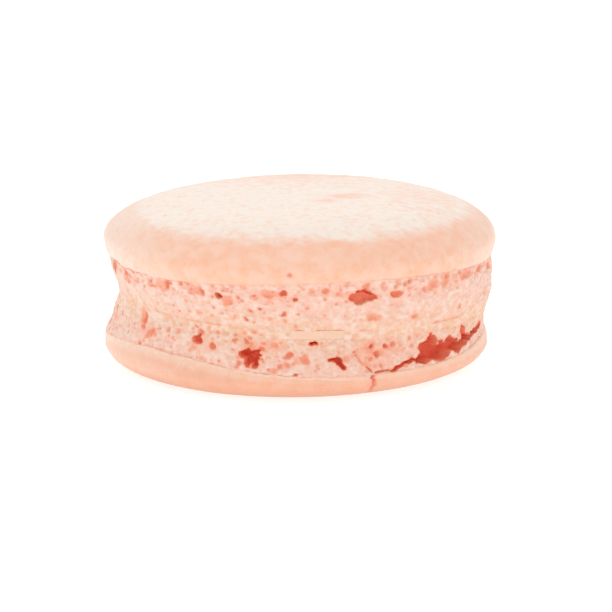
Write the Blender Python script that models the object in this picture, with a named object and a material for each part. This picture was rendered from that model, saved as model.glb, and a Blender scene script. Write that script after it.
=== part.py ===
"""A French macaron: two baked almond shells, each a smooth crust on a ruffled foot, around a thin layer of cream.

Each shell is modelled the way it is baked, crown up and standing on its foot. The lower one is then turned
over, so that the two feet meet at the cream and the lower crown is what the macaron rests on.
The origin is on the table, under the middle of the macaron. Angles run round +Z from +X, in degrees, and the
best-looking side, at -90, faces the front.
"""

import math

import bmesh
import bpy
from mathutils import Vector, noise

MM = 0.001

# Driving dimensions
DIAMETER = 45.0 * MM
HEIGHT = 19.3 * MM
CREAM_THICKNESS = 1.0 * MM
CREAM_BASE = 7.1 * MM
SEAT_GAP = 0.2 * MM
SEGMENTS = 108

# The lower shell spread a little less than the upper one and was set down slightly off its middle
LOWER_RADIUS = 22.1 * MM
LOWER_SHIFT = -0.4 * MM

# The seam leans: it drops by this much for each unit towards +X. The upper crown leans the other way
SEAM_SLOPE = -0.03
CROWN_SLOPE = 0.0115

# Heights of the seam on the axis, which follow from the ones above
CREAM_TOP = CREAM_BASE + CREAM_THICKNESS
UPPER_SEAT = CREAM_TOP + SEAT_GAP
LOWER_SEAT = CREAM_BASE - SEAT_GAP

# Sides of the macaron, as angles
RIGHT = 0.0
FRONT = -90.0
BACK = 90.0
LEFT = 180.0


def swell(angle, centre, width):
    """A smooth hump round the rim: 1 at its centre, fading to nothing over its width, in degrees."""
    away = (angle - centre + 180.0) % 360.0 - 180.0
    return math.exp(-((away / width) ** 2))


class UpperShell:
    """Sizes of the upper shell, in baked position: height 0 is the seat that its foot stands on."""

    name = "top_shell"
    radius = DIAMETER / 2
    height = HEIGHT - UPPER_SEAT
    crown_rise = 0.2 * MM
    shoulder = 12.3 * MM
    widest_height = 6.2 * MM
    crown_slope = CROWN_SLOPE
    seat_slope = SEAM_SLOPE
    out_of_round = 0.10 * MM
    seed = Vector((3.1, 0.7, 0.0))

    def lip_height(self, angle):
        return (4.05 + 1.25 * swell(angle, FRONT + 18.0, 55.0) + 0.5 * swell(angle, BACK, 40.0)) * MM

    def foot_at_lip(self, angle):
        return (21.7 + 0.15 * swell(angle, RIGHT, 60.0)) * MM

    def foot_at_seat(self, angle):
        return (20.85 + 1.1 * swell(angle, RIGHT, 55.0) + 0.3 * swell(angle, BACK + 30.0, 40.0)) * MM


class LowerShell:
    """Sizes of the lower shell, in baked position. Turning it over about X changes an angle's sign."""

    name = "bottom_shell"
    radius = LOWER_RADIUS
    height = LOWER_SEAT
    crown_rise = 0.0
    shoulder = 4.2 * MM
    widest_height = LOWER_SEAT - 2.4 * MM
    crown_slope = 0.0
    seat_slope = -SEAM_SLOPE
    out_of_round = 0.06 * MM
    seed = Vector((8.6, 4.2, 0.0))

    def lip_height(self, angle):
        left_hump = 1.5 * swell(-angle, FRONT - 48.0, 35.0)
        right_hump = 0.5 * swell(-angle, RIGHT, 30.0)
        back_hump = 0.6 * swell(-angle, BACK, 50.0)
        return (3.9 - left_hump - right_hump - back_hump) * MM

    def foot_at_lip(self, angle):
        return (21.35 + 0.2 * swell(-angle, LEFT, 60.0)) * MM

    def foot_at_seat(self, angle):
        return (20.45 + 1.25 * swell(-angle, RIGHT, 50.0)) * MM


# How many rings of vertices each stretch of a shell's outline has
CROWN_RINGS = 1
SHOULDER_RINGS = 8
CHEEK_RINGS = 2
FOOT_RINGS = 7

# A shoulder is a quarter of a slightly hollow superellipse: 2 would make it a plain ellipse
SHOULDER_POWER = 1.9

LIP_SETBACK = 0.35 * MM
LIP_ROUNDING = 0.45 * MM
FOOT_EDGE_ROUNDING = 0.25 * MM
RUFFLE_DEPTH = 0.55 * MM
RUFFLE_LENGTH = 2.2 * MM

# Where a foot tore or blew open while baking: angle, height above the table, half sizes
HOLLOW_DEPTH = 2.0 * MM
LOWER_HOLLOWS = (
    {"angle": -46.5, "height": 4.5 * MM, "half_length": 2.3 * MM, "half_height": 1.1 * MM},
    {"angle": -38.0, "height": 4.1 * MM, "half_length": 2.6 * MM, "half_height": 0.9 * MM},
    {"angle": -28.0, "height": 4.4 * MM, "half_length": 3.0 * MM, "half_height": 0.65 * MM},
    {"angle": -103.6, "height": 5.2 * MM, "half_length": 1.3 * MM, "half_height": 0.9 * MM},
)
UPPER_HOLLOWS = (
    {"angle": -71.8, "height": 11.7 * MM, "half_length": 1.4 * MM, "half_height": 0.75 * MM},
)

# A crack down the lower crust, below the big hollow
CRACK_ANGLE = -67.6
CRACK_HEIGHT = 2.1 * MM
CRACK_SIZE = Vector((1.2, 0.35, 2.8)) * MM
CRACK_LEAN = math.radians(14.0)


def unevenness(shell, angle):
    """How far the crust is from round. Only even waves are used, so the outline stays centred."""
    turn = math.radians(angle)
    slow = math.cos(2.0 * turn + shell.seed.x)
    quick = 0.4 * math.cos(4.0 * turn + shell.seed.y)
    return shell.out_of_round * (slow + quick)


def ruffle(shell, angle, height):
    """The foot's soft folds, as a push in or out at a place on its wall."""
    turn = math.radians(angle)
    place = Vector((math.cos(turn), math.sin(turn), 0.0)) * (shell.radius / RUFFLE_LENGTH)
    place.z = height / RUFFLE_LENGTH
    return RUFFLE_DEPTH * noise.noise(place + shell.seed)


def crown_rings(shell, angle):
    """(radius, height) from near the axis to the shoulder: a very flat dome."""
    shoulder_start = shell.radius - shell.shoulder
    lean = shell.crown_slope * math.cos(math.radians(angle))
    for ring in range(1, CROWN_RINGS + 1):
        radius = shoulder_start * ring / CROWN_RINGS
        fall = shell.crown_rise * (ring / CROWN_RINGS) ** 2
        yield radius, shell.height - fall + lean * radius


def shoulder_rings(shell, angle):
    """(radius, height) round the shoulder, a quarter superellipse down to the widest ring."""
    rise = shell.height - shell.crown_rise - shell.widest_height
    lean = shell.crown_slope * math.cos(math.radians(angle))
    for ring in range(1, SHOULDER_RINGS + 1):
        turn = math.pi / 2 * ring / SHOULDER_RINGS
        outward = math.sin(turn) ** (2.0 / SHOULDER_POWER)
        upward = max(0.0, math.cos(turn)) ** (2.0 / SHOULDER_POWER)
        radius = shell.radius - shell.shoulder * (1.0 - outward)
        yield radius, shell.widest_height + (rise + lean * radius) * upward


def cheek_rings(shell, angle):
    """(radius, height) from the widest ring in to the lip, where the crust ends."""
    drop = shell.widest_height - shell.lip_height(angle)
    for ring in range(1, CHEEK_RINGS + 1):
        turn = math.pi / 2 * ring / CHEEK_RINGS
        radius = shell.radius - LIP_ROUNDING * (1.0 - math.cos(turn))
        yield radius, shell.widest_height - drop * math.sin(turn)


def foot_rings(shell, angle):
    """(radius, height) down the ruffled foot, from under the lip to the leaning seat."""
    lean = shell.seat_slope * math.cos(math.radians(angle))
    seat_radius = shell.foot_at_seat(angle)
    top = shell.lip_height(angle) - LIP_SETBACK
    bottom = lean * seat_radius + FOOT_EDGE_ROUNDING
    for ring in range(FOOT_RINGS):
        share = ring / (FOOT_RINGS - 1)
        height = top + (bottom - top) * share
        radius = shell.foot_at_lip(angle) * (1.0 - share) + seat_radius * share
        yield radius + ruffle(shell, angle, height), height
    rim_radius = seat_radius - FOOT_EDGE_ROUNDING
    yield rim_radius, lean * rim_radius


def shell_outline(shell, angle):
    """The whole outline of the shell at an angle, from its crown to its seat, as (radius, height)."""
    bow = unevenness(shell, angle)
    crust = (*crown_rings(shell, angle), *shoulder_rings(shell, angle), *cheek_rings(shell, angle))
    for radius, height in crust:
        yield radius + bow * radius / shell.radius, height
    yield from foot_rings(shell, angle)


def cream_outline(angle):
    """The cream's outline at an angle: a thin leaning layer with a softly bulging edge."""
    edge_radius = (20.75 + 0.9 * swell(angle, RIGHT, 50.0)) * MM
    edge_rounding = 0.18 * MM
    lean = SEAM_SLOPE * math.cos(math.radians(angle))
    for share, inset in ((0.0, edge_rounding), (0.3, 0.0), (0.7, 0.0), (1.0, edge_rounding)):
        radius = edge_radius - inset
        yield radius, CREAM_TOP - CREAM_THICKNESS * share + lean * radius


def loft_round(name, outline_at, top_height, base_height):
    """A closed solid through one outline for each angle, which no Screw makes because they differ."""
    mesh = bpy.data.meshes.new(name)
    solid = bmesh.new()
    columns = []
    for segment in range(SEGMENTS):
        angle = 360.0 * segment / SEGMENTS
        turn = math.radians(angle)
        column = []
        for radius, height in outline_at(angle):
            column.append(solid.verts.new((radius * math.cos(turn), radius * math.sin(turn), height)))
        columns.append(column)
    for here, there in zip(columns, columns[1:] + columns[:1]):
        for ring in range(len(here) - 1):
            solid.faces.new((here[ring], here[ring + 1], there[ring + 1], there[ring]))
    for ring, height in ((0, top_height), (-1, base_height)):
        middle = solid.verts.new((0.0, 0.0, height))
        for here, there in zip(columns, columns[1:] + columns[:1]):
            solid.faces.new((middle, here[ring], there[ring]))
    bmesh.ops.recalc_face_normals(solid, faces=solid.faces)
    solid.to_mesh(mesh)
    solid.free()
    mesh.shade_smooth()
    mesh.set_sharp_from_angle(angle=math.radians(50.0))
    return bpy.data.objects.new(name, mesh)


def baked_material(name, colour, roughness):
    """A dry, non-metallic food surface."""
    material = bpy.data.materials.new(name)
    material.use_nodes = True
    surface = material.node_tree.nodes["Principled BSDF"]
    surface.inputs["Base Color"].default_value = (*colour, 1.0)
    surface.inputs["Roughness"].default_value = roughness
    surface.inputs["Metallic"].default_value = 0.0
    return material


def add_shell(collection, shell, material):
    """One baked shell, crown up, on its own seat."""
    piece = loft_round(shell.name, lambda angle: shell_outline(shell, angle), shell.height, 0.0)
    piece.data.materials.append(material)
    collection.objects.link(piece)
    return piece


def add_cream(collection, material):
    """The layer of cream that runs right through between the two seats."""
    piece = loft_round("cream", cream_outline, CREAM_TOP, CREAM_BASE)
    piece.data.materials.append(material)
    collection.objects.link(piece)
    return piece


def cut_away(piece, cutter):
    """Takes the cutter's shape out of the piece."""
    cutter.display_type = "WIRE"
    cutter.hide_render = True
    cut = piece.modifiers.new(cutter.name, "BOOLEAN")
    cut.operation = "DIFFERENCE"
    cut.solver = "EXACT"
    cut.object = cutter


def place_on_wall(cutter, radius, angle, height, middle_x):
    """Sets a cutter into the wall of a shell, its X pointing straight out."""
    turn = math.radians(angle)
    cutter.location = (radius * math.cos(turn) + middle_x, radius * math.sin(turn), height)
    cutter.rotation_euler.z = turn


def add_hollow(collection, name, hollow):
    """An egg-shaped cutter that lies along the wall."""
    solid = bmesh.new()
    bmesh.ops.create_icosphere(solid, subdivisions=2, radius=1.0)
    stretch = Vector((HOLLOW_DEPTH, hollow["half_length"], hollow["half_height"]))
    bmesh.ops.scale(solid, vec=stretch, verts=solid.verts)
    mesh = bpy.data.meshes.new(name)
    solid.to_mesh(mesh)
    solid.free()
    cutter = bpy.data.objects.new(name, mesh)
    collection.objects.link(cutter)
    return cutter


def add_crack(collection):
    """A thin leaning wedge that splits the lower crust's edge."""
    solid = bmesh.new()
    bmesh.ops.create_cube(solid, size=1.0)
    inner_edge = [vertex for vertex in solid.verts if vertex.co.x < 0.0]
    bmesh.ops.scale(solid, vec=Vector((1.0, 0.2, 1.0)), verts=inner_edge)
    bmesh.ops.scale(solid, vec=CRACK_SIZE, verts=solid.verts)
    mesh = bpy.data.meshes.new("crack")
    solid.to_mesh(mesh)
    solid.free()
    cutter = bpy.data.objects.new("crack", mesh)
    collection.objects.link(cutter)
    return cutter


def new_collection(name):
    collection = bpy.data.collections.new(name)
    bpy.context.scene.collection.children.link(collection)
    return collection


def main():
    for old in list(bpy.data.objects):
        bpy.data.objects.remove(old)
    macaron = new_collection("french_macaron")
    cutters = new_collection("cutters")

    crust = baked_material("almond_shell", (0.93, 0.68, 0.55), 0.6)
    cream = baked_material("cream", (0.95, 0.74, 0.58), 0.5)

    upper = add_shell(macaron, UpperShell(), crust)
    upper.location.z = UPPER_SEAT
    for number, hollow in enumerate(UPPER_HOLLOWS, start=1):
        cutter = add_hollow(cutters, f"upper_hollow_{number}", hollow)
        place_on_wall(cutter, UpperShell.radius - 0.2 * MM, hollow["angle"], hollow["height"], 0.0)
        cut_away(upper, cutter)

    add_cream(macaron, cream)

    lower = add_shell(macaron, LowerShell(), crust)
    lower.location = (LOWER_SHIFT, 0.0, LOWER_SEAT)
    lower.rotation_euler.x = math.pi
    for number, hollow in enumerate(LOWER_HOLLOWS, start=1):
        cutter = add_hollow(cutters, f"lower_hollow_{number}", hollow)
        place_on_wall(cutter, LowerShell.radius - 0.5 * MM, hollow["angle"], hollow["height"], LOWER_SHIFT)
        cut_away(lower, cutter)
    crack = add_crack(cutters)
    place_on_wall(crack, LowerShell.radius, CRACK_ANGLE, CRACK_HEIGHT, LOWER_SHIFT)
    crack.rotation_euler.x = CRACK_LEAN
    cut_away(lower, crack)


main()
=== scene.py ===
"""A French macaron, baked and filled: smooth almond crusts, porous ruffled feet and a thin layer of cream.

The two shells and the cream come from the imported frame. Each is replaced here by the same form with its
real surface: pores blown into the feet, torn hollows, lumps and freckles on the crusts, a crack in the lower
edge. Sizes are in millimetres, and become metres when a mesh is made. Angles run round +Z from +X, in
degrees.
"""

import math

import bmesh
import bpy
import numpy as np
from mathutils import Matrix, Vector


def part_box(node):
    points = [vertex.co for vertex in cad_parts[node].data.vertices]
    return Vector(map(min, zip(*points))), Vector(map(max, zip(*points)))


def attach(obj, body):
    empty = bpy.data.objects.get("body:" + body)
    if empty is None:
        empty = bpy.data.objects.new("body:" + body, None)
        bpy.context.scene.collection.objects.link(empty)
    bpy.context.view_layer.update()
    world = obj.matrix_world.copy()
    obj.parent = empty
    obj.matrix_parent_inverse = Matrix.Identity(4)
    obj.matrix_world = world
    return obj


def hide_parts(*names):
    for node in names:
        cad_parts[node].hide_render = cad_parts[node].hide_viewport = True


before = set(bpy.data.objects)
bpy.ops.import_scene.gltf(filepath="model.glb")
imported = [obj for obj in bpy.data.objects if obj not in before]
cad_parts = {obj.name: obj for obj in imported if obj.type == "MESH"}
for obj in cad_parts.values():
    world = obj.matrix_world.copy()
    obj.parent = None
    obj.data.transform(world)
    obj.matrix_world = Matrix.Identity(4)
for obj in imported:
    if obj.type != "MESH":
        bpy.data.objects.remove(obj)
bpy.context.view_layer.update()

MM = 0.001

# Sides of the macaron
RIGHT = 0.0
FRONT = -90.0
BACK = 90.0
LEFT = 180.0

# Sizes that come from the frame
upper_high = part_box("top_shell")[1]
lower_low, lower_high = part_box("bottom_shell")
HEIGHT = upper_high.z / MM
LOWER_SHIFT = (lower_low.x + lower_high.x) / 2 / MM

# The two crusts, as on the frame
UPPER_RADIUS = 22.5
LOWER_RADIUS = 22.1
UPPER_WIDEST = 14.5
LOWER_WIDEST = 2.4
CROWN_EDGE = 10.2
CROWN_FALL = 0.2
CROWN_SLOPE = 0.0115
BASE_EDGE = 17.9
SHOULDER_POWER = 1.96
OUT_OF_ROUND = 0.10
UPPER_CURL = 2.42
LOWER_CURL = 1.4

# The edges of the crusts where they meet the feet: how high, how far rounded, and how far one stands proud
LIP_LEVEL = 12.35
LIP_ROUNDING = 0.10
LEDGE_LEVEL = 3.0
LEDGE_ROUNDING = 0.14
LEDGE_PROUD = 0.06

# Above this height the upper crust is pale: dried sugar, with a painted sheen where the top catches the
# light
PALE_TOP_LEVEL = 17.4

# The cream and the seams on either side of it, which lean down to the right
CREAM_BASE = 7.1
CREAM_TOP = 8.1
SEAM_SLOPE = -0.03
SEAM_RADIUS = 21.0

# A smooth flap of cream at the front hangs out between these angles
FLAP_START = -91.5
FLAP_END = -76.6

# The mean radius of the wall, for laying its pits and its roughness out
WALL_RADIUS = 21.3

# How finely the pieces are divided: segments round the rim, and rows from top to bottom
FOOT_SEGMENTS = 1440
CRUST_SEGMENTS = 720
UPPER_FOOT_ROWS = 62
CREAM_ROWS = 15
LOWER_FOOT_ROWS = 56
CROWN_ROWS = 40
UPPER_SHOULDER_ROWS = 61
UPPER_CHEEK_ROWS = 19
LIP_ROWS = 4
LEDGE_ROWS = 5
LOWER_CHEEK_ROWS = 14
LOWER_SHOULDER_ROWS = 41

# Random draws: cells along each side of a noise block, the first seed of each kind, and a count
GRAIN = 64
GRAIN_SEED = 1000
PORE_SEED = 77
SPECK_SEED = 78
SPECKS = 90


# ---------------------------------------------------------------- shape helpers


def swell(angle, centre, width):
    """A smooth hump round the rim: 1 at its centre, fading to nothing over its width, in degrees."""
    away = (angle - centre + 180.0) % 360.0 - 180.0
    return np.exp(-((away / width) ** 2))


def stretch(angle, start, end, soft):
    """1 between two angles and 0 outside them, with ends that fade over a few degrees."""
    middle = (start + end) / 2
    away = np.abs((angle - middle + 180.0) % 360.0 - 180.0)
    return np.clip(((end - start) / 2 - away) / soft + 0.5, 0.0, 1.0)


def mound(x, y, middle_x, middle_y, half_x, half_y):
    """A smooth hump on the crust: 1 at its middle, fading to nothing over its half lengths."""
    return np.exp(-(((x - middle_x) / half_x) ** 2) - ((y - middle_y) / half_y) ** 2)


def rough(x, y, z, size, octaves=2, seed=0):
    """Roughness at points in space, about -1 to 1, with lumps of a given size. Each octave has lumps of half
    the size, and blends the random numbers at the eight corners of the point's cell."""
    total = 0.0
    strength = 1.0
    for octave in range(octaves):
        draw = np.random.default_rng(GRAIN_SEED + 17 * seed + octave)
        grid = draw.uniform(-1.0, 1.0, (GRAIN, GRAIN, GRAIN))
        places = [np.asarray(part) / size * 2.07**octave for part in (x, y, z)]
        corners = [np.floor(place).astype(int) for place in places]
        along = [place - corner for place, corner in zip(places, corners)]
        east, north, up = [share * share * (3.0 - 2.0 * share) for share in along]
        i, j, k = corners
        levels = []
        for lift in (0, 1):
            rows = []
            for step in (0, 1):
                near = grid[i % GRAIN, (j + step) % GRAIN, (k + lift) % GRAIN]
                far = grid[(i + 1) % GRAIN, (j + step) % GRAIN, (k + lift) % GRAIN]
                rows.append(near + (far - near) * east)
            levels.append(rows[0] + (rows[1] - rows[0]) * north)
        total = total + strength * (levels[0] + (levels[1] - levels[0]) * up)
        strength *= 0.5
    return total


def angles_of(segments):
    """The angle of each segment as one row, -180 to 180."""
    angle = np.arange(segments) * 360.0 / segments
    return ((angle + 180.0) % 360.0 - 180.0)[None, :]


def on_rim(angle, radius):
    """x and y at an angle and a radius."""
    turn = np.radians(angle)
    return radius * np.cos(turn), radius * np.sin(turn)


def drum(rows, segments):
    """The blank that every layer is thrown from: a closed drum of a unit radius, its rings a unit apart."""
    blank = bmesh.new()
    bmesh.ops.create_cone(
        blank,
        cap_ends=True,
        cap_tris=True,
        segments=segments,
        radius1=1.0,
        radius2=1.0,
        depth=rows - 1.0,
    )
    staves = [edge for edge in blank.edges if abs(edge.verts[0].co.z - edge.verts[1].co.z) > 0.5]
    bmesh.ops.subdivide_edges(blank, edges=staves, cuts=rows - 2, use_grid_fill=True)
    return blank


def throw(name, radius, height, masks, sharp_rings=(), middle_x=0.0):
    """Makes a closed layer from grids of radius and height, one row for each ring and one column for each
    segment. Each mask is kept as a point attribute for the material, and some rings stay sharp corners."""
    rows, segments = radius.shape
    blank = drum(rows, segments)
    mesh = bpy.data.meshes.new(name)
    blank.to_mesh(mesh)
    blank.free()
    count = len(mesh.vertices)
    place = np.empty(count * 3)
    mesh.vertices.foreach_get("co", place)
    place = place.reshape(count, 3)
    at_pole = np.hypot(place[:, 0], place[:, 1]) < 0.5
    row = np.rint((rows - 1.0) / 2 - place[:, 2]).astype(int)
    turn = np.arctan2(place[:, 1], place[:, 0])
    segment = np.rint(turn / math.tau * segments).astype(int) % segments
    turn = segment * math.tau / segments
    reach = np.where(at_pole, 0.0, radius[row, segment])
    level = height[row, segment]
    pole_level = np.where(place[:, 2] > 0.0, height[0].mean(), height[-1].mean())
    place[:, 0] = reach * np.cos(turn) + middle_x
    place[:, 1] = reach * np.sin(turn)
    place[:, 2] = np.where(at_pole, pole_level, level)
    mesh.vertices.foreach_set("co", (place * MM).ravel())
    for mask_name, mask in masks.items():
        values = mask[row, segment].astype(np.float32)
        mesh.attributes.new(mask_name, "FLOAT", "POINT").data.foreach_set("value", values)
    mesh.shade_smooth()
    ends = np.empty(len(mesh.edges) * 2, dtype=np.int32)
    mesh.edges.foreach_get("vertices", ends)
    ring = np.where(at_pole, -1, row)[ends.reshape(-1, 2)]
    corner = (ring[:, 0] == ring[:, 1]) & np.isin(ring[:, 0], [number % rows for number in sharp_rings])
    mesh.attributes.new("sharp_edge", "BOOLEAN", "EDGE").data.foreach_set("value", corner)
    mesh.update()
    piece = bpy.data.objects.new(name, mesh)
    bpy.context.scene.collection.objects.link(piece)
    return piece


# ---------------------------------------------------------------- outlines of the macaron, by angle


def lip_height(angle):
    """Where the upper crust ends and its foot begins, a ragged line."""
    front = 1.25 * swell(angle, FRONT + 18.0, 55.0)
    back = 0.5 * swell(angle, BACK, 40.0)
    left = 0.3 * swell(angle, LEFT + 12.0, 20.0)
    x, y = on_rim(angle, UPPER_RADIUS)
    return LIP_LEVEL + front + back + left + 0.05 * rough(x, y, 0.0, 1.3, octaves=3, seed=51)


def ledge_height(angle):
    """Where the lower foot meets the edge of the lower crust."""
    left = 1.5 * swell(angle, FRONT - 48.0, 35.0)
    right = 0.9 * swell(angle, RIGHT, 30.0)
    back = 0.6 * swell(angle, BACK, 50.0)
    x, y = on_rim(angle, LOWER_RADIUS)
    return LEDGE_LEVEL + left + right + back + 0.07 * rough(x, y, 0.0, 1.1, octaves=3, seed=52)


def cream_top(angle):
    """The upper seam of the cream at the wall."""
    return CREAM_TOP + SEAM_SLOPE * SEAM_RADIUS * np.cos(np.radians(angle))


def cream_base(angle):
    """The lower seam of the cream at the wall."""
    return CREAM_BASE + SEAM_SLOPE * SEAM_RADIUS * np.cos(np.radians(angle))


def unevenness(angle, seed_slow, seed_quick):
    """How far a crust is from round."""
    turn = np.radians(angle)
    return OUT_OF_ROUND * (np.cos(2.0 * turn + seed_slow) + 0.4 * np.cos(4.0 * turn + seed_quick))


def upper_cheek(angle, level):
    """The radius of the upper crust below its widest ring, where it curls in to meet the foot."""
    curl = 0.77 + 0.25 * swell(angle, LEFT, 45.0)
    return UPPER_RADIUS - curl * (np.clip(UPPER_WIDEST - level, 0.0, None) / UPPER_CURL) ** 2


def lower_cheek(level):
    """The radius of the lower crust above its widest ring, about its own middle."""
    return LOWER_RADIUS - 0.30 * (np.clip(level - LOWER_WIDEST, 0.0, None) / LOWER_CURL) ** 2


def wall_radius(angle, level):
    """The side of the macaron between its crusts: feet and cream as one wall, before any pores."""
    lip = lip_height(angle)
    top = cream_top(angle)
    base = cream_base(angle)
    ledge = ledge_height(angle)
    at_lip = upper_cheek(angle, lip) - 0.02 - 0.1 * swell(angle, RIGHT - 10.0, 30.0)
    at_top = 21.2 + 0.40 * swell(angle, RIGHT, 60.0) - 0.50 * swell(angle, LEFT, 40.0)
    at_base = 21.1 + 0.18 * swell(angle, RIGHT, 50.0) - 0.50 * swell(angle, LEFT, 40.0)
    at_ledge = lower_cheek(ledge) + LOWER_SHIFT * np.cos(np.radians(angle)) - 0.04
    at_ledge = at_ledge - 0.33 * swell(angle, RIGHT, 25.0)
    down_upper = np.clip((lip - level) / (lip - top), 0.0, 1.0)
    down_cream = np.clip((top - level) / (top - base), 0.0, 1.0)
    down_lower = np.clip((base - level) / (base - ledge), 0.0, 1.0)
    wall = at_lip + (at_top - at_lip) * down_upper + (at_base - at_top) * down_cream
    wall = wall + (at_ledge - at_base) * down_lower
    wall = wall + 0.28 * swell(angle, RIGHT, 55.0) * 4.0 * down_upper * (1.0 - down_upper)
    wall = wall - 0.15 * swell(angle, LEFT, 40.0) * 4.0 * down_lower * (1.0 - down_lower)
    x, y = on_rim(angle, WALL_RADIUS)
    waves = 0.16 * rough(x, y, level, 3.6, seed=53) + 0.05 * rough(x, y, level, 1.2, seed=54)
    return wall + waves * np.clip((lip - level) / 0.8, 0.0, 1.0)


# ---------------------------------------------------------------- pores and pits in the wall

# Hollows, pits and broad dips: angle, height, half length, half height, depth, tilt in degrees
PITS = (
    # The wide pit high in the upper foot, and the small one beside it
    (-72.0, 11.7, 1.50, 0.80, 1.10, 0),
    (-68.4, 11.7, 0.40, 0.20, 0.8, -30),
    (-72.6, 12.25, 0.75, 0.13, 1.3, 18),
    (-70.0, 12.15, 0.70, 0.13, 1.3, -20),
    (-61.5, 11.8, 0.75, 0.42, 0.8, 0),
    # Pits under the upper crust, round to the left
    (-113.0, 11.8, 0.45, 0.33, 1.1, 0),
    (-110.5, 11.3, 0.45, 0.60, 0.6, 0),
    (-119.5, 12.0, 0.75, 0.50, 0.28, 0),
    (-118.6, 12.0, 0.36, 0.36, 0.7, 0),
    (-133.5, 11.9, 0.95, 0.70, 0.28, 0),
    (-130.0, 12.5, 0.60, 0.22, 0.6, 10),
    (-131.4, 12.1, 0.36, 0.50, 0.8, -20),
    (-151.5, 12.0, 0.45, 0.35, 0.7, 0),
    (-151.5, 11.4, 0.90, 0.50, 0.3, 0),
    # The rest of the upper foot
    (-98.5, 12.2, 0.60, 0.40, 0.6, 0),
    (-94.5, 12.4, 0.45, 0.32, 0.9, 30),
    (-91.0, 11.6, 0.30, 0.22, 0.8, 0),
    (-68.5, 9.2, 0.75, 0.35, 0.5, 0),
    (-49.0, 12.3, 0.60, 0.40, 0.5, 0),
    (-44.0, 12.3, 0.50, 0.50, 0.5, -40),
    (-34.5, 12.3, 1.20, 0.40, 0.5, 0),
    (-25.0, 12.4, 0.90, 0.30, 0.6, 0),
    (-82.5, 12.6, 0.50, 0.28, 0.6, 0),
    (-54.5, 8.8, 0.55, 0.22, 0.5, 0),
    (-106.0, 9.3, 0.45, 0.25, 0.6, -30),
    (-104.0, 10.2, 0.26, 0.22, 0.5, 0),
    (-101.0, 10.5, 0.28, 0.20, 0.6, 0),
    (-94.5, 10.1, 0.38, 0.25, 0.7, 35),
    # The torn hollow in the lower foot, on the right
    (-48.0, 4.7, 1.45, 0.95, 2.6, -10),
    (-52.3, 4.05, 0.85, 0.30, 2.0, 20),
    (-50.5, 4.0, 1.50, 0.65, 2.4, 15),
    (-47.0, 5.6, 0.80, 0.65, 2.2, 30),
    (-50.8, 5.2, 0.60, 0.35, 1.8, -20),
    (-43.5, 4.2, 1.80, 1.05, 2.6, 0),
    (-38.5, 4.6, 1.50, 0.70, 2.2, 10),
    (-39.5, 5.3, 0.70, 0.35, 1.2, 0),
    (-34.0, 4.2, 1.40, 0.65, 2.0, 10),
    (-30.0, 4.6, 1.20, 0.60, 1.8, 15),
    (-30.8, 5.4, 0.42, 0.80, 1.5, 10),
    (-24.0, 4.8, 1.60, 0.40, 1.5, 12),
    (-18.0, 5.0, 1.20, 0.40, 1.3, 12),
    # The torn pit in the lower foot, left of the middle
    (-104.3, 5.40, 1.35, 0.45, 2.0, 0),
    (-103.7, 4.9, 0.75, 0.55, 2.0, 0),
    (-105.0, 4.5, 0.26, 0.42, 1.6, 20),
    (-102.6, 4.4, 0.34, 0.50, 1.6, 0),
    (-107.2, 4.4, 0.36, 0.32, 0.6, 0),
    (-102.0, 6.2, 1.90, 0.60, 0.16, 0),
    (-104.5, 6.4, 0.30, 0.45, 0.5, 0),
    (-100.0, 6.5, 0.50, 0.22, 0.5, 0),
    # The rest of the lower foot
    (-121.5, 6.4, 0.75, 0.45, 1.1, 0),
    (-145.8, 7.5, 0.70, 0.85, 0.25, 0),
    (-144.9, 7.3, 0.36, 0.65, 0.85, 0),
    (-141.0, 6.0, 0.75, 0.30, 0.6, 35),
    (-86.0, 6.65, 0.42, 0.16, 1.2, -10),
    (-79.5, 4.8, 0.90, 0.25, 1.3, 0),
    (-78.0, 4.4, 0.75, 0.30, 1.3, -45),
    (-69.0, 5.9, 0.60, 0.55, 0.4, 0),
    (-68.5, 6.0, 0.28, 0.28, 0.9, 0),
    (-64.0, 5.9, 0.35, 0.30, 0.8, 0),
    (-61.5, 5.9, 0.35, 0.28, 0.6, 0),
    (-116.0, 5.9, 0.50, 0.40, 0.8, 0),
    (-93.0, 5.4, 0.70, 0.30, 0.7, 25),
    (-88.5, 4.9, 0.60, 0.40, 0.6, 0),
    (-91.0, 3.4, 0.35, 0.13, 0.7, 25),
    # The split along the lower crust, from the hollow to the crack and a little past it
    (-56.5, 3.9, 1.00, 0.18, 1.4, 12),
    (-60.0, 3.5, 1.20, 0.17, 1.4, 20),
    (-65.5, 3.2, 1.20, 0.13, 0.8, 0),
    (-69.5, 3.6, 0.90, 0.13, 0.6, -40),
    (-72.5, 4.6, 0.80, 0.12, 0.35, -60),
    # Broad dips that let the foam look uneven
    (-70.0, 5.6, 1.70, 1.20, 0.14, 0),
    (-63.5, 5.4, 1.50, 1.00, 0.14, 0),
    (-66.0, 4.2, 2.20, 0.80, 0.10, -10),
    (-100.0, 6.2, 2.40, 0.80, 0.10, 0),
    (-97.0, 11.9, 2.60, 0.80, 0.08, 0),
    (-77.0, 12.2, 2.00, 0.60, 0.08, 0),
    (-42.0, 11.6, 2.20, 0.70, 0.08, 0),
    (-120.0, 5.8, 2.20, 0.70, 0.08, 0),
    (-145.0, 6.2, 1.60, 1.00, 0.10, 0),
)

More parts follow.
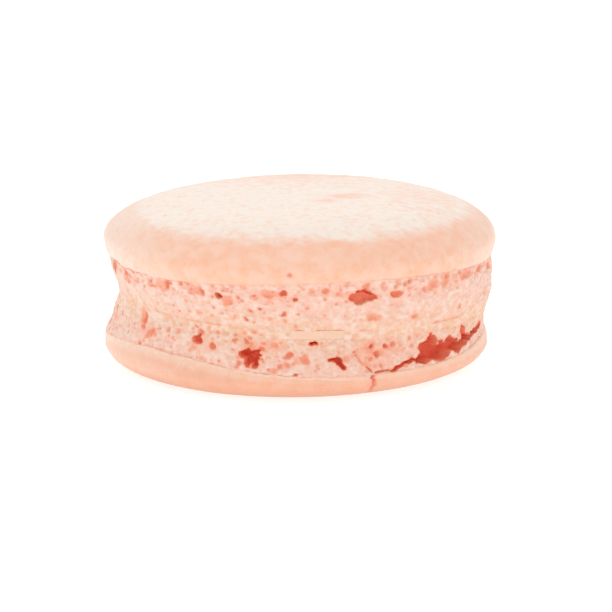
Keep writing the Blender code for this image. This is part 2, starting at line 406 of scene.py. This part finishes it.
# Stretches of strewn pores: first and last angle, lowest and highest, count, smallest and largest radius
PORE_FIELDS = (
    (-180.0, 180.0, 11.6, 13.3, 420, 0.14, 0.36),
    (-180.0, 180.0, 11.0, 13.3, 420, 0.10, 0.20),
    (-180.0, 180.0, 8.6, 11.4, 110, 0.12, 0.24),
    (-135.0, -85.0, 9.0, 11.2, 16, 0.16, 0.30),
    (-180.0, 180.0, 3.4, 6.8, 330, 0.14, 0.38),
    (-180.0, 180.0, 3.2, 7.0, 420, 0.10, 0.20),
    (-130.0, -100.0, 7.1, 7.8, 22, 0.16, 0.32),
    (20.0, 200.0, 3.6, 6.4, 26, 0.45, 1.10),
    (20.0, 200.0, 11.2, 12.6, 18, 0.40, 0.80),
)

# Fine creases where a seam has opened: first and last angle, and how deep its edges are rounded away
OPEN_ABOVE_CREAM = (
    (FLAP_START, FLAP_END, 0.02),
    (-73.0, -68.0, 0.06),
    (-48.0, -34.0, 0.07),
    (-150.0, -110.0, 0.03),
    (15.0, 48.0, 0.07),
    (80.0, 118.0, 0.06),
    (150.0, 172.0, 0.06),
)
OPEN_AT_CRUST = ((-180.0, 180.0, 0.04),)
OPEN_BELOW_CREAM = (
    (30.0, 60.0, 0.05),
    (95.0, 130.0, 0.04),
)


def strewn_pores():
    """The random pores of every field, many small ones and few large ones, as rows like those of PITS."""
    draw = np.random.default_rng(PORE_SEED)
    rows = []
    for first, last, low, high, count, smallest, largest in PORE_FIELDS:
        angle = draw.uniform(first, last, count)
        level = draw.uniform(low, high, count)
        size = smallest * (largest / smallest) ** (draw.uniform(0.0, 1.0, count) ** 1.8)
        flatten = draw.uniform(0.55, 1.0, count)
        tilt = draw.uniform(-40.0, 40.0, count)
        depth = size * draw.uniform(0.6, 2.2, count)
        rows.append(np.stack([angle, level, size, size * flatten, depth, tilt], axis=1))
    return np.concatenate(rows)


def carve(along, level, ragged, pits):
    """How deep each point of the wall is pushed in by the pits, and how much painted shade it gets there. A
    deep pit is torn, with a steep edge, and a shallow one is a soft dent. The deeper a pit, the redder its
    painted shade, which is redder towards the pit's top."""
    depth = np.zeros_like(level)
    painted_shade = np.zeros_like(level)
    segments = level.shape[1]
    lowest = level.min()
    highest = level.max()
    shallow_first = sorted(pits.tolist(), key=lambda pit: pit[4])
    for angle, middle, half_length, half_height, deep, tilt in shallow_first:
        reach = 1.5 * max(half_length, half_height) + 0.30
        if middle + reach < lowest or middle - reach > highest:
            continue
        spread = math.degrees(reach / WALL_RADIUS)
        first = math.floor((angle - spread) / 360.0 * segments)
        last = math.ceil((angle + spread) / 360.0 * segments)
        window = np.arange(first, last + 1) % segments
        across = np.radians((along[:, window] - angle + 180.0) % 360.0 - 180.0) * WALL_RADIUS
        up = level[:, window] - middle
        cos_tilt = math.cos(math.radians(tilt))
        sin_tilt = math.sin(math.radians(tilt))
        run = (across * cos_tilt + up * sin_tilt) / half_length
        climb = (up * cos_tilt - across * sin_tilt) / half_height
        torn = min(1.0, max(0.0, deep - 0.5) / 0.8)
        oval = 1.0 - run**2 - climb**2
        inside = oval + (0.9 - 0.4 * torn) * ragged[:, window]
        step = 0.35 * torn * deep
        rim = torn + (1.0 - torn) * np.clip(2.5 * inside, 0.0, 1.0)
        swing = (deep - step) * np.clip(oval, 0.1, 1.0) ** (1.0 - 0.7 * torn) * rim * (0.5 + 0.5 * torn)
        current = depth[:, window]
        open_here = (inside > 0.0) & (step - swing - 0.02 <= current)
        depth[:, window] = np.where(open_here, np.maximum(current, step + swing), current)
        # Painted shade: stronger for deeper pits, and redder towards a pit's top, where the shade falls
        shade_tone = min(1.6 * deep, 0.32 + 0.48 * deep, 1.0)
        shade = torn + (1.0 - torn) * np.clip(6.0 * inside, 0.0, 1.0)
        grade = np.clip(0.92 + 0.16 * climb + 0.3 * ragged[:, window], 0.45, 1.0)
        shade = shade * (grade + (1.0 - grade) * 0.75 * torn)
        painted_shade[:, window] = np.where(open_here, np.maximum(painted_shade[:, window], shade_tone * shade), painted_shade[:, window])
    return depth, painted_shade


def soften(grid, times):
    """Spreads a mask a little over its neighbours, round the rim and up and down."""
    for _ in range(times):
        grid = (np.roll(grid, 1, axis=1) + 2.0 * grid + np.roll(grid, -1, axis=1)) / 4.0
        padded = np.concatenate([grid[:1], grid, grid[-1:]])
        grid = (padded[:-2] + 2.0 * grid + padded[2:]) / 4.0
    return grid


def widen(grid):
    """Spreads a mask over its next neighbours at full strength."""
    grid = np.maximum(grid, np.maximum(np.roll(grid, 1, axis=1), np.roll(grid, -1, axis=1)))
    padded = np.concatenate([grid[:1], grid, grid[-1:]])
    return np.maximum(grid, np.maximum(padded[:-2], padded[2:]))


def wall_surface(angle, level):
    """The finished side at a grid of angles and heights: its radius, its painted shade, and its crumb
    relief, which also sets a painted highlight.
    """
    x, y = on_rim(angle, WALL_RADIUS)
    wall = wall_radius(angle, level)
    sideways = 0.15 * rough(x, y, level, 0.6, seed=55)
    along = angle + np.degrees(sideways / WALL_RADIUS)
    warped = level + 0.15 * rough(x, y, level, 0.6, seed=56)
    ragged = rough(x, y, level, 0.36, seed=69)
    pits = np.concatenate([np.array(PITS, float), strewn_pores()])
    depth, painted_shade = carve(along, warped, ragged, pits)
    grain = rough(x, y, level * 1.2, 0.42, octaves=3, seed=57)
    tooth = rough(x, y, level, 0.9, seed=58)
    # The crumb relief also sets a painted highlight: the proud lumps are painted paler
    crumb_and_highlight = np.clip(0.5 + 0.5 * grain + 0.25 * tooth, 0.0, 1.0)
    below_lip = np.clip((lip_height(angle) - level) / 0.12, 0.0, 1.0)
    above_ledge = np.clip((level - ledge_height(angle)) / 0.12, 0.0, 1.0)
    surface = wall + 0.15 * (crumb_and_highlight - 0.5) + 0.07 * tooth - depth * (below_lip * above_ledge)
    return surface, painted_shade, crumb_and_highlight


def crease(angle, away, openings):
    """How far the wall rounds in near a seam, from the distance to it."""
    deep = 0.01 + 0.0 * angle
    for first, last, most in openings:
        deep = np.maximum(deep, most * stretch(angle, first, last, 1.5))
    return deep * np.exp(-((away / 0.09) ** 2))


def make_wall(top, bottom, rows, open_at_top, open_at_bottom):
    """One layer of the wall, between two heights given for each angle, with its seams creased."""
    angle = angles_of(FOOT_SEGMENTS)
    share = np.linspace(0.0, 1.0, rows)[:, None]
    level = top * (1.0 - share) + bottom * share
    surface, painted_shade, crumb_and_highlight = wall_surface(angle, level)
    fold = crease(angle, top - level, open_at_top) + crease(angle, level - bottom, open_at_bottom)
    surface = surface - fold
    # Creases get painted shade too
    painted_shade = np.maximum(painted_shade, 5.0 * fold)
    return surface, level, painted_shade, crumb_and_highlight


def set_back(angle):
    """How far the cream and the top of the lower foot lie in from the wall, on the left."""
    return 0.18 * stretch(angle, -152.0, -108.0, 10.0)


def close_wall(name, surface, level, painted_shade, crumb_and_highlight):
    """Closes a wall over its top and bottom, flat and well inside, and makes its piece and its masks."""
    angle = angles_of(FOOT_SEGMENTS)
    inward = np.array([0.4, 2.6, 9.0])[:, None]
    radius = np.concatenate([surface[:1] - inward[::-1], surface, surface[-1:] - inward])
    height = np.concatenate([level[:1] + 0.0 * inward, level, level[-1:] + 0.0 * inward])
    x, y = on_rim(angle, WALL_RADIUS)
    near_seam = np.exp(-(((height - cream_base(angle) - 0.6) / 1.9) ** 2))
    mottle = rough(x, y, height, 2.2, seed=59)
    # The painted highlight on the crumbs is stronger towards the left
    crumb_and_highlight = crumb_and_highlight + 0.22 * swell(angle, LEFT + 28.0, 36.0)
    # The pore masks are painted shade: full strength at the deepest pits, a little spread elsewhere, and a
    # wide soft halo round them
    deepest_shade = widen(np.where(painted_shade > 0.8, painted_shade, 0.0))
    pore_shade = np.maximum(0.9 * soften(widen(painted_shade), 1), deepest_shade)
    pad = np.zeros((len(inward), FOOT_SEGMENTS))
    masks = {
        "pore_shade": np.concatenate([pad, pore_shade, pad]),
        "shade_halo": np.concatenate([pad, soften(painted_shade, 9), pad]),
        "crumb_and_highlight": np.concatenate([pad, crumb_and_highlight, pad]),
        "seam": np.clip(near_seam * (1.0 + 0.5 * mottle), 0.0, 1.0),
    }
    first_ring = len(inward)
    return throw(name, radius, height, masks, sharp_rings=(first_ring, -first_ring - 1))


def make_upper_foot():
    """The foot of the upper shell, from just inside its crust down to the cream."""
    angle = angles_of(FOOT_SEGMENTS)
    top = lip_height(angle) + 0.08
    parts = make_wall(top, cream_top(angle), UPPER_FOOT_ROWS, OPEN_AT_CRUST, OPEN_ABOVE_CREAM)
    return close_wall("upper_foot", *parts)


def make_cream():
    """The cream, as crumbly at the wall as the feet are, except for its smooth flap."""
    angle = angles_of(FOOT_SEGMENTS)
    top = cream_top(angle)
    base = cream_base(angle)
    surface, level, painted_shade, crumb_and_highlight = make_wall(top, base, CREAM_ROWS, OPEN_ABOVE_CREAM, OPEN_BELOW_CREAM)
    flap = stretch(angle, FLAP_START, FLAP_END, 0.5)
    plain = wall_radius(angle, level) + 0.05 * np.clip(level - base, 0.0, 1.0)
    surface = surface * (1.0 - flap) + plain * flap - set_back(angle)
    return close_wall("cream_layer", surface, level, painted_shade * (1.0 - flap), crumb_and_highlight + (0.6 - crumb_and_highlight) * flap)


def make_lower_foot():
    """The foot of the lower shell, from the cream down to just inside its crust."""
    angle = angles_of(FOOT_SEGMENTS)
    top = cream_base(angle)
    bottom = ledge_height(angle) - 0.05
    surface, level, painted_shade, crumb_and_highlight = make_wall(top, bottom, LOWER_FOOT_ROWS, OPEN_BELOW_CREAM, OPEN_AT_CRUST)
    near_top = np.exp(-(((top - level) / 0.8) ** 2))
    return close_wall("lower_foot", surface - set_back(angle) * near_top, level, painted_shade, crumb_and_highlight)


# ---------------------------------------------------------------- crusts


def toasted_specks(x, y, height):
    """Small browned specks of almond skin in the crust, as a mask: half on the side, half on top."""
    draw = np.random.default_rng(SPECK_SEED)
    specks = np.zeros_like(x)
    for number in range(SPECKS):
        on_side = number % 2 == 1
        turn = draw.uniform(-math.pi, math.pi)
        level = draw.uniform(13.6, 17.0)
        size = draw.uniform(0.14, 0.24)
        strength = draw.uniform(0.3, 0.9)
        out = UPPER_RADIUS if on_side else 0.8 * UPPER_RADIUS * math.sqrt(draw.uniform(0.0, 1.0))
        off = (x - out * math.cos(turn)) ** 2 + (y - out * math.sin(turn)) ** 2
        off = off + (height - level) ** 2 if on_side else off
        specks = np.maximum(specks, strength * np.exp(-off / size**2) * (height > 13.0))
    return specks


def make_upper_crust():
    """The crown, its shoulder and its cheek, tucked under to the lip, pale on the top with dried sugar and a
    painted sheen.
    """
    angle = angles_of(CRUST_SEGMENTS)
    flat = 0.0 * angle
    lean = CROWN_SLOPE * np.cos(np.radians(angle))
    share = np.linspace(0.02, 1.0, CROWN_ROWS)[:, None]
    crown = CROWN_EDGE * share + flat
    crown_height = HEIGHT - CROWN_FALL * share**2 + lean * crown
    turn = np.linspace(0.0, math.pi / 2, UPPER_SHOULDER_ROWS)[1:, None]
    shoulder = CROWN_EDGE + (UPPER_RADIUS - CROWN_EDGE) * np.sin(turn) ** (2.0 / SHOULDER_POWER) + flat
    rise = HEIGHT - CROWN_FALL - UPPER_WIDEST + lean * shoulder
    shoulder_height = UPPER_WIDEST + rise * np.clip(np.cos(turn), 0.0, 1.0) ** (2.0 / SHOULDER_POWER)
    lip = lip_height(angle)
    down = np.linspace(0.0, 1.0, UPPER_CHEEK_ROWS)[1:, None]
    cheek_height = UPPER_WIDEST * (1.0 - down) + (lip + LIP_ROUNDING) * down
    cheek = upper_cheek(angle, cheek_height)
    tuck = np.linspace(0.0, math.pi / 2, LIP_ROWS)[1:, None]
    under = upper_cheek(angle, lip + LIP_ROUNDING) - LIP_ROUNDING * (1.0 - np.cos(tuck))
    under_height = lip + LIP_ROUNDING * (1.0 - np.sin(tuck))
    inner = np.array([20.8, 18.0, 9.0])[:, None] + flat
    inner_height = lip + LIP_ROUNDING + 0.0 * inner
    radius = np.concatenate([crown, shoulder, cheek, under, inner])
    height = np.concatenate([crown_height, shoulder_height, cheek_height, under_height, inner_height])
    radius = radius + unevenness(angle, 3.1, 0.7) * np.minimum(1.0, radius / UPPER_RADIUS)
    x, y = on_rim(angle, radius)
    outside = np.arange(len(radius))[:, None] < len(radius) - len(under) - len(inner)
    # Lumps push the rim outwards and the crown upwards
    out_share = np.clip((radius - 10.0) / 12.0, 0.0, 1.0) ** 4
    lumps = 0.06 * rough(x, y, height, 4.0, seed=61) + 0.035 * rough(x, y, height, 1.3, octaves=3, seed=62)
    # A raised patch on the crown with a tail in front of it, a fold on the left and a pinhole in the front
    patch = mound(x, y, 5.3, -2.2, 2.0, 1.5)
    tail = mound(x, y, 3.0, -5.0, 2.0, 1.2)
    fold = mound(x, y, -20.4, -6.9, 1.2, 1.6)
    lumps = lumps + 0.22 * patch + 0.14 * tail - 0.16 * fold
    pinhole = np.exp(-(((x + 1.0) / 0.28) ** 2) - ((height - 14.5) / 0.25) ** 2) * (y < 0.0)
    lumps = lumps - 0.30 * pinhole
    radius = radius + np.where(outside, lumps * out_share, 0.0)
    height = height + np.where(outside, lumps * (1.0 - out_share), 0.0)
    # The pale top, dried sugar with a painted sheen, ends in a ragged line on the shoulder. The patch and
    # its tail lose some of the pale.
    # The back and right edges lose some painted sheen, away from the light, and the folds get a painted
    # highlight.
    pale_top_line = PALE_TOP_LEVEL + 0.30 * swell(angle, FRONT, 45.0)
    top = (height - pale_top_line) / 1.1
    ragged = 0.14 * rough(x, y, 0.0, 0.8, octaves=3, seed=63) + 0.14 * rough(x, y, 0.0, 5.0, seed=64)
    fold_highlight = mound(x, y, 4.7, -18.3, 1.5, 0.5) + 0.8 * mound(x, y, -20.3, -7.2, 0.7, 2.0)
    back_edge = mound(x, y, -1.0, 21.0, 17.0, 11.0)
    right_edge = mound(x, y, 16.0, 0.0, 8.0, 12.0)
    blush_and_less_sheen = 1.3 * patch + 1.0 * tail + 1.35 * back_edge + 0.45 * right_edge
    streaks = 0.14 * rough(x, 2.0 * y, 0.0, 0.9, octaves=3, seed=70)
    # Pale top mask: dried sugar plus painted sheen and painted fold highlights
    frost_and_light = 0.55 + np.minimum(top, 0.45) + ragged + streaks - 0.8 * blush_and_less_sheen + 0.7 * fold_highlight
    frost_and_light = np.clip(frost_and_light, 0.0, 1.0)
    # Paler towards the left and the right sides
    pale_sides = 0.58 * swell(angle, LEFT + 8.0, 42.0) + 0.36 * swell(angle, RIGHT - 5.0, 36.0)
    # The hole mask paints dark red shade into the pinhole
    masks = {"frost_and_light": np.maximum(frost_and_light, pale_sides), "hole_shade": pinhole, "toast_and_shade": toasted_specks(x, y, height)}
    return throw("upper_crust", radius, np.minimum(height, HEIGHT), masks)


def make_lower_crust():
    """The shell that was turned over: a flat ledge under its foot, the cheek, the shoulder and the base."""
    angle = angles_of(FOOT_SEGMENTS)
    flat = 0.0 * angle
    ledge = ledge_height(angle)
    inner = np.array([9.0, 18.0, 20.4])[:, None] + flat
    turn = np.linspace(0.0, math.pi / 2, LEDGE_ROWS)[:, None]
    edge_height = ledge - LEDGE_ROUNDING * (1.0 - np.cos(turn))
    edge = lower_cheek(ledge) + LEDGE_PROUD - LEDGE_ROUNDING * (1.0 - np.sin(turn))
    down = np.linspace(0.0, 1.0, LOWER_CHEEK_ROWS)[1:, None]
    cheek_height = (ledge - LEDGE_ROUNDING) * (1.0 - down) + LOWER_WIDEST * down
    cheek = lower_cheek(cheek_height) + LEDGE_PROUD * (1.0 - down)
    turn = np.linspace(0.0, math.pi / 2, LOWER_SHOULDER_ROWS)[1:, None]
    reach = np.clip(np.cos(turn), 0.0, 1.0) ** (2.0 / SHOULDER_POWER)
    shoulder = BASE_EDGE + (LOWER_RADIUS - BASE_EDGE) * reach + flat
    shoulder_height = LOWER_WIDEST * (1.0 - np.sin(turn) ** (2.0 / SHOULDER_POWER)) + flat
    shoulder_height = shoulder_height + 0.16 * swell(angle, RIGHT - 50.0, 45.0) * np.sin(2.0 * turn)
    # It rests on the ring at the shoulder's end, and inside that ring it is a hair off the table
    base = np.array([15.5, 12.0, 8.5, 5.0, 2.0, 0.5])[:, None] + flat
    base_height = 0.05 + 0.02 * rough(*on_rim(angle, base), 0.0, 3.0, seed=71)
    radius = np.concatenate([inner, edge, cheek, shoulder, base])
    height = np.concatenate([ledge + 0.0 * inner, edge_height, cheek_height, shoulder_height, base_height])
    radius = radius + 0.6 * unevenness(angle, -8.6, -4.2) * np.minimum(1.0, radius / LOWER_RADIUS)
    x, y = on_rim(angle, radius)
    rim = np.clip((radius - 18.0) / 3.0, 0.0, 1.0)
    lumps = 0.05 * rough(x, y, height, 3.0, seed=65) + 0.03 * rough(x, y, height, 1.1, octaves=3, seed=66)
    line = ledge - 0.35 - 0.12 * rough(x, y, 0.0, 5.0, octaves=1, seed=67)
    groove = stretch(angle, -112.0, -72.0, 12.0) * np.exp(-(((height - line) / 0.12) ** 2))
    # The crack in the edge, which wanders as it goes down
    wander = 0.6 * rough(height, 0.0, 0.0, 0.5, octaves=3, seed=68)
    crack_angle = -67.05 - (height - 1.8) * 0.10 + wander
    off_crack = np.radians((angle - crack_angle + 180.0) % 360.0 - 180.0) * LOWER_RADIUS
    crack = np.exp(-((off_crack / 0.21) ** 2)) * (height > 0.2)
    radius = radius + rim * (lumps - 0.07 * groove - 0.45 * crack)
    pale_sides = 0.45 * swell(angle, LEFT + 15.0, 45.0) + 0.25 * swell(angle, RIGHT, 32.0)
    # Darker and browner towards the bottom: some browning, and painted shade near the floor
    toast_and_shade = np.clip((2.0 - height) / 1.7, 0.0, 1.0)
    # The band under the ledge is painted lighter, painted light from above
    painted_light_rim = 0.62 * np.clip((height - ledge + 1.1) / 1.1, 0.0, 1.0)
    # The hole mask paints dark red shade into the crack
    masks = {"frost_and_light": (pale_sides + painted_light_rim) * (1.0 - toast_and_shade), "hole_shade": rim * crack, "toast_and_shade": toast_and_shade}
    return throw("lower_crust", radius, height, masks, middle_x=LOWER_SHIFT)


# ---------------------------------------------------------------- materials

# The Mix node's colour sockets: its two inputs, and its result
FIRST_COLOUR = 6
SECOND_COLOUR = 7
MIXED_COLOUR = 2

# Colours of the crusts that lie over the side's own; the last is painted dark red shade in holes
ALMOND_ORANGE = (0.95, 0.50, 0.28)
SUGAR_DOT = (0.96, 0.78, 0.66)
HOLE_SHADE = (0.88, 0.26, 0.16)

# Colours of the foam: its mottle, its pale crumb with a painted highlight, and the painted shade round its
# pores, on their sides and at their bottoms
ROSE_MOTTLE = (0.92, 0.47, 0.36)
CRUMB_HIGHLIGHT = (0.93, 0.74, 0.64)
DRY_DOT = (0.94, 0.79, 0.68)
PORE_SHADE_HALO = (0.95, 0.49, 0.35)
PORE_SHADE_SIDE = (0.95, 0.33, 0.19)
PORE_SHADE_BOTTOM = (0.94, 0.21, 0.11)


def new_material(name, roughness):
    """A material with a Principled surface of a set roughness, and what it takes to build on it."""
    material = bpy.data.materials.new(name)
    material.use_nodes = True
    nodes = material.node_tree.nodes
    surface = nodes["Principled BSDF"]
    surface.inputs["Roughness"].default_value = roughness
    return material, nodes, material.node_tree.links, surface


def mask_of(nodes, name):
    """A mask that was kept on the mesh."""
    found = nodes.new("ShaderNodeAttribute")
    found.attribute_name = name
    return found.outputs["Fac"]


def blend(nodes, links, amount, first, second):
    """Blends two colours, given as values or sockets, by a mask."""
    mix = nodes.new("ShaderNodeMix")
    mix.data_type = "RGBA"
    links.new(amount, mix.inputs["Factor"])
    for number, colour in ((FIRST_COLOUR, first), (SECOND_COLOUR, second)):
        socket = mix.inputs[number]
        if isinstance(colour, tuple):
            socket.default_value = (*colour, 1.0)
        else:
            links.new(colour, socket)
    return mix.outputs[MIXED_COLOUR]


def remap(nodes, links, value, low, high, least=0.0, most=1.0):
    """Stretches a value between two limits to a new range, and clamps it."""
    node = nodes.new("ShaderNodeMapRange")
    node.inputs["From Min"].default_value = low
    node.inputs["From Max"].default_value = high
    node.inputs["To Min"].default_value = least
    node.inputs["To Max"].default_value = most
    links.new(value, node.inputs["Value"])
    return node.outputs["Result"]


def share_of(nodes, links, value, most):
    """A mask from 0 to 1 turned down to a share of itself."""
    return remap(nodes, links, value, 0.0, 1.0, 0.0, most)


def spots(nodes, links, place, size_mm, low, high, detail=2.0):
    """A noise mask in lumps of about a size, between two thresholds."""
    lumps = nodes.new("ShaderNodeTexNoise")
    lumps.inputs["Scale"].default_value = 1.0 / (size_mm * MM)
    lumps.inputs["Detail"].default_value = detail
    links.new(place, lumps.inputs["Vector"])
    return remap(nodes, links, lumps.outputs["Fac"], low, high)


def almond_grain_group():
    """The fine grain of almond meal, shared by every surface: a mottle, freckles, pale dots and a height for
    the bump."""
    group = bpy.data.node_groups.new("almond_grain", "ShaderNodeTree")
    group.interface.new_socket("Coarseness", in_out="INPUT", socket_type="NodeSocketFloat")
    for name in ("Mottle", "Freckle", "Pale", "Height"):
        group.interface.new_socket(name, in_out="OUTPUT", socket_type="NodeSocketFloat")
    nodes = group.nodes
    links = group.links
    given = nodes.new("NodeGroupInput")
    result = nodes.new("NodeGroupOutput")
    place = nodes.new("ShaderNodeTexCoord").outputs["Object"]
    scaled = nodes.new("ShaderNodeVectorMath")
    scaled.operation = "SCALE"
    links.new(place, scaled.inputs[0])
    links.new(given.outputs["Coarseness"], scaled.inputs["Scale"])
    grainy = scaled.outputs["Vector"]
    links.new(spots(nodes, links, grainy, 1.6, 0.38, 0.62, 4.0), result.inputs["Mottle"])
    links.new(spots(nodes, links, grainy, 0.80, 0.50, 0.68, 3.0), result.inputs["Freckle"])
    links.new(spots(nodes, links, grainy, 0.50, 0.52, 0.70, 4.0), result.inputs["Pale"])
    fine = nodes.new("ShaderNodeTexNoise")
    fine.inputs["Scale"].default_value = 1.0 / (0.22 * MM)
    fine.inputs["Detail"].default_value = 4.0
    fine.inputs["Roughness"].default_value = 0.6
    links.new(grainy, fine.inputs["Vector"])
    links.new(fine.outputs["Fac"], result.inputs["Height"])
    return group


def place_grain(nodes, group, coarseness):
    """The shared grain in one material, at its own coarseness."""
    grain = nodes.new("ShaderNodeGroup")
    grain.node_tree = group
    grain.inputs["Coarseness"].default_value = coarseness
    return grain


def roughen(nodes, links, surface, height, strength, distance_mm):
    """Gives a surface the fine relief of its grain."""
    bump = nodes.new("ShaderNodeBump")
    bump.inputs["Strength"].default_value = strength
    bump.inputs["Distance"].default_value = distance_mm * MM
    links.new(height, bump.inputs["Height"])
    links.new(bump.outputs["Normal"], surface.inputs["Normal"])


def baked_crust(name, group, side, mottled, frosted_and_lit, toasted_and_shaded):
    """Crust: smooth, matt and grainy. It is paler where sugar has dried on it and with painted sheen and
    painted light, darker where it is toasted and with painted shade, and painted dark red shade in its
    holes.
    """
    material, nodes, links, surface = new_material(name, 0.42)
    grain = place_grain(nodes, group, 1.0)
    mottle = share_of(nodes, links, grain.outputs["Mottle"], 0.8)
    colour = blend(nodes, links, mottle, side, mottled)
    frost_and_light = nodes.new("ShaderNodeMath")
    frost_and_light.operation = "MULTIPLY"
    frost_and_light.use_clamp = True
    links.new(remap(nodes, links, grain.outputs["Pale"], 0.0, 1.0, 0.86, 1.15), frost_and_light.inputs[0])
    links.new(remap(nodes, links, mask_of(nodes, "frost_and_light"), 0.1, 0.9), frost_and_light.inputs[1])
    colour = blend(nodes, links, frost_and_light.outputs[0], colour, frosted_and_lit)
    freckle = share_of(nodes, links, grain.outputs["Freckle"], 0.30)
    colour = blend(nodes, links, freckle, colour, ALMOND_ORANGE)
    pale = share_of(nodes, links, grain.outputs["Pale"], 0.12)
    colour = blend(nodes, links, pale, colour, SUGAR_DOT)
    # Toast mask: toasted specks on the upper crust, and browning with painted shade at the bottom of the
    # lower one
    toast_and_shade = share_of(nodes, links, mask_of(nodes, "toast_and_shade"), 0.8)
    colour = blend(nodes, links, toast_and_shade, colour, toasted_and_shaded)
    # Painted dark red shade in the pinhole and the crack
    colour = blend(nodes, links, mask_of(nodes, "hole_shade"), colour, HOLE_SHADE)
    links.new(colour, surface.inputs["Base Color"])
    roughen(nodes, links, surface, grain.outputs["Height"], 0.5, 0.06)
    return material


def porous_foot(name, group, pink, beige):
    """Foot or cream: dry foam, one shade along the seam and one elsewhere, a painted highlight on its proud
    crumbs, and painted shade in its pores that reddens as they deepen."""
    material, nodes, links, surface = new_material(name, 0.6)
    grain = place_grain(nodes, group, 1.4)
    colour = blend(nodes, links, mask_of(nodes, "seam"), pink, beige)
    mottle = share_of(nodes, links, grain.outputs["Mottle"], 0.40)
    colour = blend(nodes, links, mottle, colour, ROSE_MOTTLE)
    # Painted highlight on the proud crumbs
    crumb_and_highlight = remap(nodes, links, mask_of(nodes, "crumb_and_highlight"), 0.35, 0.95, 0.0, 0.70)
    colour = blend(nodes, links, crumb_and_highlight, colour, CRUMB_HIGHLIGHT)
    pale = share_of(nodes, links, grain.outputs["Pale"], 0.35)
    colour = blend(nodes, links, pale, colour, DRY_DOT)
    # Painted shade round and in the pores, redder as they deepen
    shade_halo = remap(nodes, links, mask_of(nodes, "shade_halo"), 0.0, 0.30, 0.0, 0.75)
    colour = blend(nodes, links, shade_halo, colour, PORE_SHADE_HALO)
    shallow_shade = remap(nodes, links, mask_of(nodes, "pore_shade"), 0.05, 0.75, 0.0, 0.95)
    colour = blend(nodes, links, shallow_shade, colour, PORE_SHADE_SIDE)
    # The deepest painted shade, at the bottoms of pores
    deep = remap(nodes, links, mask_of(nodes, "pore_shade"), 0.60, 1.02)
    colour = blend(nodes, links, deep, colour, PORE_SHADE_BOTTOM)
    links.new(colour, surface.inputs["Base Color"])
    roughen(nodes, links, surface, grain.outputs["Height"], 0.7, 0.07)
    return material


def dress(piece, material, node):
    """Gives a piece its material, and ties it to the frame."""
    piece.data.materials.append(material)
    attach(piece, "root")
    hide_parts(node)


# ---------------------------------------------------------------- studio


def build_studio():
    """A white floor that glows a little, an even white surround and two soft boxes."""
    bpy.ops.mesh.primitive_plane_add(size=4.0, location=(0.0, 0.0, 0.0))
    floor = bpy.context.object
    floor.name = "floor"
    material = bpy.data.materials.new("white_floor")
    material.use_nodes = True
    surface = material.node_tree.nodes["Principled BSDF"]
    surface.inputs["Base Color"].default_value = (0.5, 0.5, 0.5, 1.0)
    surface.inputs["Roughness"].default_value = 0.9
    surface.inputs["Emission Color"].default_value = (1.0, 1.0, 1.0, 1.0)
    surface.inputs["Emission Strength"].default_value = 0.75
    floor.data.materials.append(material)
    world = bpy.data.worlds.new("studio")
    world.use_nodes = True
    world.node_tree.nodes["Background"].inputs["Color"].default_value = (1.0, 1.0, 1.0, 1.0)
    world.node_tree.nodes["Background"].inputs["Strength"].default_value = 0.83
    bpy.context.scene.world = world
    add_softbox("overhead", (-0.08, -0.05, 0.45), 0.35, 0.3)
    add_softbox("behind", (0.0, 0.55, 0.28), 0.40, 0.25)


def add_softbox(name, place, size, power):
    """A square area light that faces the macaron."""
    lamp = bpy.data.lights.new(name, "AREA")
    lamp.shape = "SQUARE"
    lamp.size = size
    lamp.energy = power
    box = bpy.data.objects.new(name, lamp)
    box.location = place
    box.rotation_euler = Vector(place).to_track_quat("Z", "Y").to_euler()
    bpy.context.scene.collection.objects.link(box)


def place_camera():
    """A long lens in front of the macaron and a little above it."""
    sideways = 0.745
    eye = Vector((sideways, -300.0, 75.0)) * MM
    target = Vector((sideways, 0.0, 5.95)) * MM
    lens = bpy.data.cameras.new("camera")
    lens.lens = 156.8
    lens.sensor_width = 36.0
    lens.clip_start = 0.01
    camera = bpy.data.objects.new("camera", lens)
    camera.location = eye
    camera.rotation_euler = (eye - target).to_track_quat("Z", "Y").to_euler()
    bpy.context.scene.collection.objects.link(camera)
    bpy.context.scene.camera = camera


def main():
    """Makes the five pieces, the studio and the camera."""
    grain = almond_grain_group()
    upper = baked_crust(
        "upper_baked_crust",
        grain,
        side=(0.98, 0.61, 0.46),
        mottled=(0.97, 0.52, 0.34),
        frosted_and_lit=(0.95, 0.85, 0.755),
        toasted_and_shaded=(0.93, 0.40, 0.13),
    )
    lower = baked_crust(
        "lower_baked_crust",
        grain,
        side=(0.88, 0.48, 0.33),
        mottled=(0.86, 0.42, 0.27),
        frosted_and_lit=(0.98, 0.73, 0.58),
        toasted_and_shaded=(0.62, 0.27, 0.14),
    )
    foot = porous_foot("porous_foot", grain, pink=(0.91, 0.575, 0.45), beige=(0.89, 0.545, 0.35))
    cream = porous_foot("soft_cream", grain, pink=(0.88, 0.535, 0.355), beige=(0.87, 0.535, 0.33))
    dress(make_upper_crust(), upper, "top_shell")
    dress(make_upper_foot(), foot, "top_shell")
    dress(make_cream(), cream, "cream")
    dress(make_lower_foot(), foot, "bottom_shell")
    dress(make_lower_crust(), lower, "bottom_shell")
    build_studio()
    place_camera()
    bpy.context.scene.view_settings.view_transform = "Standard"


main()
